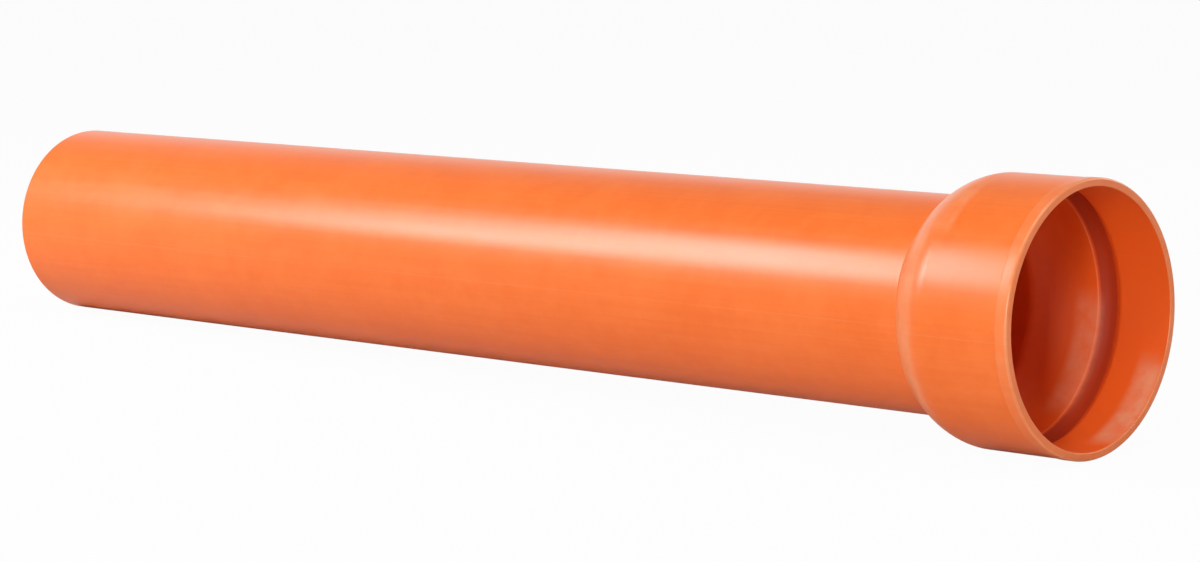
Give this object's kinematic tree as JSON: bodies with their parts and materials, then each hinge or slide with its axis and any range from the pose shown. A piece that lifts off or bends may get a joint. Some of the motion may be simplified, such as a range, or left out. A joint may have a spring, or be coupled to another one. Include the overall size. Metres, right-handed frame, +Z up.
{
  "type": "pvc sewer pipe",
  "caption": "Straight orange-brown plastic sewer pipe with a plain spigot end and a flared ring-seal socket at the other end.",
  "frame": {"origin": "on the floor under the middle of the lying pipe", "axes": "+X along the pipe towards the socket's mouth, +Z up; the pipe's own axis climbs 1.041 degrees towards +X in the XZ plane, because the pipe rests on its socket and on the lower edge of its spigot's end"},
  "size_m": [1.113, 0.1984, 0.1994],
  "materials": {
    "orange_pvc": "semi-gloss extruded PVC-U, orange-brown right through, with faint lengthwise draw lines"
  },
  "bodies": {
    "root": {"pipe": "orange_pvc"}
  },
  "joints": []
}
